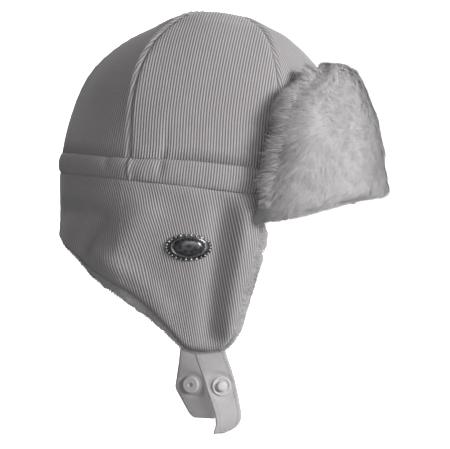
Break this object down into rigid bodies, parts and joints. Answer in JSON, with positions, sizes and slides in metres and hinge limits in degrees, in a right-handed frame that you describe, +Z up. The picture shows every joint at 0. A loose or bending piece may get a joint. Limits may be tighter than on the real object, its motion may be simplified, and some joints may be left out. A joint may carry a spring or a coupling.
{
  "type": "ushanka",
  "caption": "Child's corduroy winter hat with a rounded panelled crown, a turned-up fur brim, plush-lined ear flaps with fastening chin tabs, and an oval metal ornament.",
  "frame": {"origin": "middle of the head opening, level with the seam between the band and the ear flaps", "axes": "+X towards the wearer's front, +Y towards the wearer's left, +Z up"},
  "size_m": [0.2239, 0.1848, 0.2839],
  "materials": {
    "corduroy": "fine-wale cotton corduroy",
    "plush": "short curled plush",
    "fur": "soft imitation fur",
    "tab_cloth": "smooth woven cotton",
    "snap_plastic": "satin",
    "badge_metal": "dark gunmetal with bright wear"
  },
  "bodies": {
    "root": {"crown_gore_front_left": "corduroy", "crown_gore_side_left": "corduroy", "crown_gore_back_left": "corduroy", "crown_gore_back_right": "corduroy", "crown_gore_side_right": "corduroy", "crown_gore_front_right": "corduroy", "band": "corduroy", "ear_flap_right": "corduroy", "ear_flap_left": "corduroy", "brim": "corduroy", "flap_lining_right": "plush", "flap_lining_left": "plush", "brim_fur": "fur", "chin_tab_right": "tab_cloth", "chin_tab_left": "tab_cloth", "snap_stud": "snap_plastic", "snap_stud_cap": "snap_plastic", "snap_socket": "snap_plastic", "snap_socket_cap": "snap_plastic", "badge": "badge_metal"}
  },
  "joints": []
}
